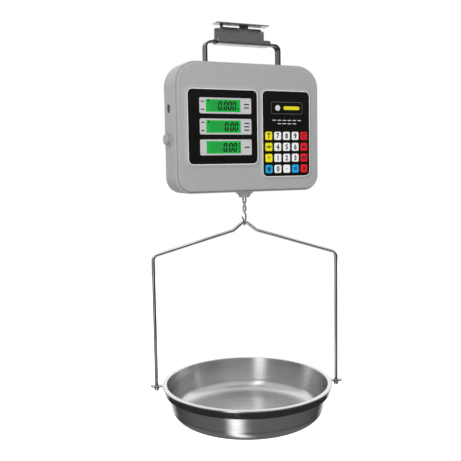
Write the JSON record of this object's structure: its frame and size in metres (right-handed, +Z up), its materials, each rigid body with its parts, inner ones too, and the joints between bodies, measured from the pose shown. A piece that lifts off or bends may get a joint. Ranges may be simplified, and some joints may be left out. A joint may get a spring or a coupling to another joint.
{
  "type": "hanging price-computing scale",
  "caption": "Electronic scale that hangs from a ceiling bracket, with a display and keypad head and a round steel pan on a wire bail below it.",
  "frame": {"origin": "on the load line, at the upper face of the ceiling bracket's top plate", "axes": "+X to the right along the front face seen from the front, +Y to the back, +Z up"},
  "size_m": [0.3462, 0.3248, 0.7376],
  "materials": {
    "bracket_steel": "dark grey satin, slightly brushed",
    "casing": "grey ABS with a fine texture",
    "panel_black": "smooth black overlay",
    "lcd_green": "green backlit liquid crystal window",
    "circuit_board": "green solder mask",
    "battery_case": "dark grey",
    "aluminium": "milled and clear anodised",
    "black_plastic": "black",
    "polished_steel": "polished stainless steel",
    "brushed_steel": "stainless steel, spun and brushed",
    "key_white": "printed white",
    "key_yellow": "printed yellow",
    "key_blue": "printed blue",
    "key_red": "printed red"
  },
  "bodies": {
    "bracket": {"ceiling_bracket": "bracket_steel"},
    "head": {"carry_strap": "bracket_steel", "cross_beam": "bracket_steel", "strap_rivet_left": "bracket_steel", "strap_rivet_right": "bracket_steel", "cell_spacer": "bracket_steel", "cell_bolt_inner": "bracket_steel", "cell_bolt_outer": "bracket_steel", "case_screw_left_low": "bracket_steel", "case_screw_left_high": "bracket_steel", "case_screw_right_low": "bracket_steel", "case_screw_right_high": "bracket_steel", "front_cover": "casing", "rear_cover": "casing", "battery_door": "casing", "charge_socket": "casing", "display_panel": "panel_black", "keypad_panel": "panel_black", "weight_lcd": "lcd_green", "unit_price_lcd": "lcd_green", "total_lcd": "lcd_green", "display_board": "circuit_board", "keypad_board": "circuit_board", "main_board": "circuit_board", "battery": "battery_case", "load_cell": "aluminium", "switch_body": "black_plastic"},
    "switch_rocker": {"power_rocker": "black_plastic"},
    "bayonet_cap": {"socket_cap": "casing"},
    "swivel": {"swivel_eye": "polished_steel", "thrust_washer": "bracket_steel", "eye_nut": "bracket_steel"},
    "hook": {"s_hook": "polished_steel"},
    "bail": {"pan_bail": "polished_steel"},
    "hoop": {"pan_hoop": "polished_steel"},
    "weighing_pan": {"pan": "brushed_steel"},
    "key_tare": {"key_tare": "key_yellow"},
    "key_zero": {"key_zero": "key_yellow"},
    "key_light": {"key_light": "key_yellow"},
    "key_print": {"key_print": "key_blue"},
    "key_7": {"key_7": "key_white"},
    "key_4": {"key_4": "key_white"},
    "key_1": {"key_1": "key_white"},
    "key_0": {"key_0": "key_white"},
    "key_8": {"key_8": "key_white"},
    "key_5": {"key_5": "key_white"},
    "key_2": {"key_2": "key_white"},
    "key_point": {"key_point": "key_white"},
    "key_9": {"key_9": "key_white"},
    "key_6": {"key_6": "key_white"},
    "key_3": {"key_3": "key_white"},
    "key_change": {"key_change": "key_blue"},
    "key_clear": {"key_clear": "key_red"},
    "key_memory_1": {"key_memory_1": "key_red"},
    "key_memory_2": {"key_memory_2": "key_red"},
    "key_total": {"key_total": "key_red"}
  },
  "joints": [
    {"name": "head_lift", "type": "slide", "parent": "bracket", "child": "head", "axis": [0, 0, 1], "range_m": [0, 0.02]},
    {"name": "rocker_tip", "type": "hinge", "parent": "head", "child": "switch_rocker", "pos_m": [-0.1451, 0.003, -0.1554], "axis": [0, 1, 0], "range_deg": [0, 10]},
    {"name": "cap_turn", "type": "hinge", "parent": "head", "child": "bayonet_cap", "pos_m": [-0.149, 0.006, -0.2095], "axis": [-1, 0, 0], "range_deg": [-90, 0]},
    {"name": "eye_swivel", "type": "hinge", "parent": "head", "child": "swivel", "pos_m": [0, 0, -0.26], "axis": [0, 0, 1], "continuous": true},
    {"name": "hook_sway", "type": "hinge", "parent": "swivel", "child": "hook", "pos_m": [0, 0, -0.298], "axis": [0.3584, 0.9336, 0], "range_deg": [-6, 6]},
    {"name": "bail_swing", "type": "hinge", "parent": "hook", "child": "bail", "pos_m": [0, 0, -0.3636], "axis": [0.9336, -0.3584, 0], "range_deg": [-12, 12]},
    {"name": "hoop_tilt", "type": "hinge", "parent": "bail", "child": "hoop", "pos_m": [0, 0, -0.67906], "axis": [0.9336, -0.3584, 0], "range_deg": [-8, 8]},
    {"name": "pan_lift", "type": "slide", "parent": "hoop", "child": "weighing_pan", "axis": [0, 0, 1], "range_m": [0, 0.12]},
    {"name": "press_key_tare", "type": "slide", "parent": "head", "child": "key_tare", "axis": [0, 1, 0], "range_m": [0, 0.0005], "stiffness_N_per_m": 500},
    {"name": "press_key_zero", "type": "slide", "parent": "head", "child": "key_zero", "axis": [0, 1, 0], "range_m": [0, 0.0005], "stiffness_N_per_m": 500},
    {"name": "press_key_light", "type": "slide", "parent": "head", "child": "key_light", "axis": [0, 1, 0], "range_m": [0, 0.0005], "stiffness_N_per_m": 500},
    {"name": "press_key_print", "type": "slide", "parent": "head", "child": "key_print", "axis": [0, 1, 0], "range_m": [0, 0.0005], "stiffness_N_per_m": 500},
    {"name": "press_key_7", "type": "slide", "parent": "head", "child": "key_7", "axis": [0, 1, 0], "range_m": [0, 0.0005], "stiffness_N_per_m": 500},
    {"name": "press_key_4", "type": "slide", "parent": "head", "child": "key_4", "axis": [0, 1, 0], "range_m": [0, 0.0005], "stiffness_N_per_m": 500},
    {"name": "press_key_1", "type": "slide", "parent": "head", "child": "key_1", "axis": [0, 1, 0], "range_m": [0, 0.0005], "stiffness_N_per_m": 500},
    {"name": "press_key_0", "type": "slide", "parent": "head", "child": "key_0", "axis": [0, 1, 0], "range_m": [0, 0.0005], "stiffness_N_per_m": 500},
    {"name": "press_key_8", "type": "slide", "parent": "head", "child": "key_8", "axis": [0, 1, 0], "range_m": [0, 0.0005], "stiffness_N_per_m": 500},
    {"name": "press_key_5", "type": "slide", "parent": "head", "child": "key_5", "axis": [0, 1, 0], "range_m": [0, 0.0005], "stiffness_N_per_m": 500},
    {"name": "press_key_2", "type": "slide", "parent": "head", "child": "key_2", "axis": [0, 1, 0], "range_m": [0, 0.0005], "stiffness_N_per_m": 500},
    {"name": "press_key_point", "type": "slide", "parent": "head", "child": "key_point", "axis": [0, 1, 0], "range_m": [0, 0.0005], "stiffness_N_per_m": 500},
    {"name": "press_key_9", "type": "slide", "parent": "head", "child": "key_9", "axis": [0, 1, 0], "range_m": [0, 0.0005], "stiffness_N_per_m": 500},
    {"name": "press_key_6", "type": "slide", "parent": "head", "child": "key_6", "axis": [0, 1, 0], "range_m": [0, 0.0005], "stiffness_N_per_m": 500},
    {"name": "press_key_3", "type": "slide", "parent": "head", "child": "key_3", "axis": [0, 1, 0], "range_m": [0, 0.0005], "stiffness_N_per_m": 500},
    {"name": "press_key_change", "type": "slide", "parent": "head", "child": "key_change", "axis": [0, 1, 0], "range_m": [0, 0.0005], "stiffness_N_per_m": 500},
    {"name": "press_key_clear", "type": "slide", "parent": "head", "child": "key_clear", "axis": [0, 1, 0], "range_m": [0, 0.0005], "stiffness_N_per_m": 500},
    {"name": "press_key_memory_1", "type": "slide", "parent": "head", "child": "key_memory_1", "axis": [0, 1, 0], "range_m": [0, 0.0005], "stiffness_N_per_m": 500},
    {"name": "press_key_memory_2", "type": "slide", "parent": "head", "child": "key_memory_2", "axis": [0, 1, 0], "range_m": [0, 0.0005], "stiffness_N_per_m": 500},
    {"name": "press_key_total", "type": "slide", "parent": "head", "child": "key_total", "axis": [0, 1, 0], "range_m": [0, 0.0005], "stiffness_N_per_m": 500}
  ]
}
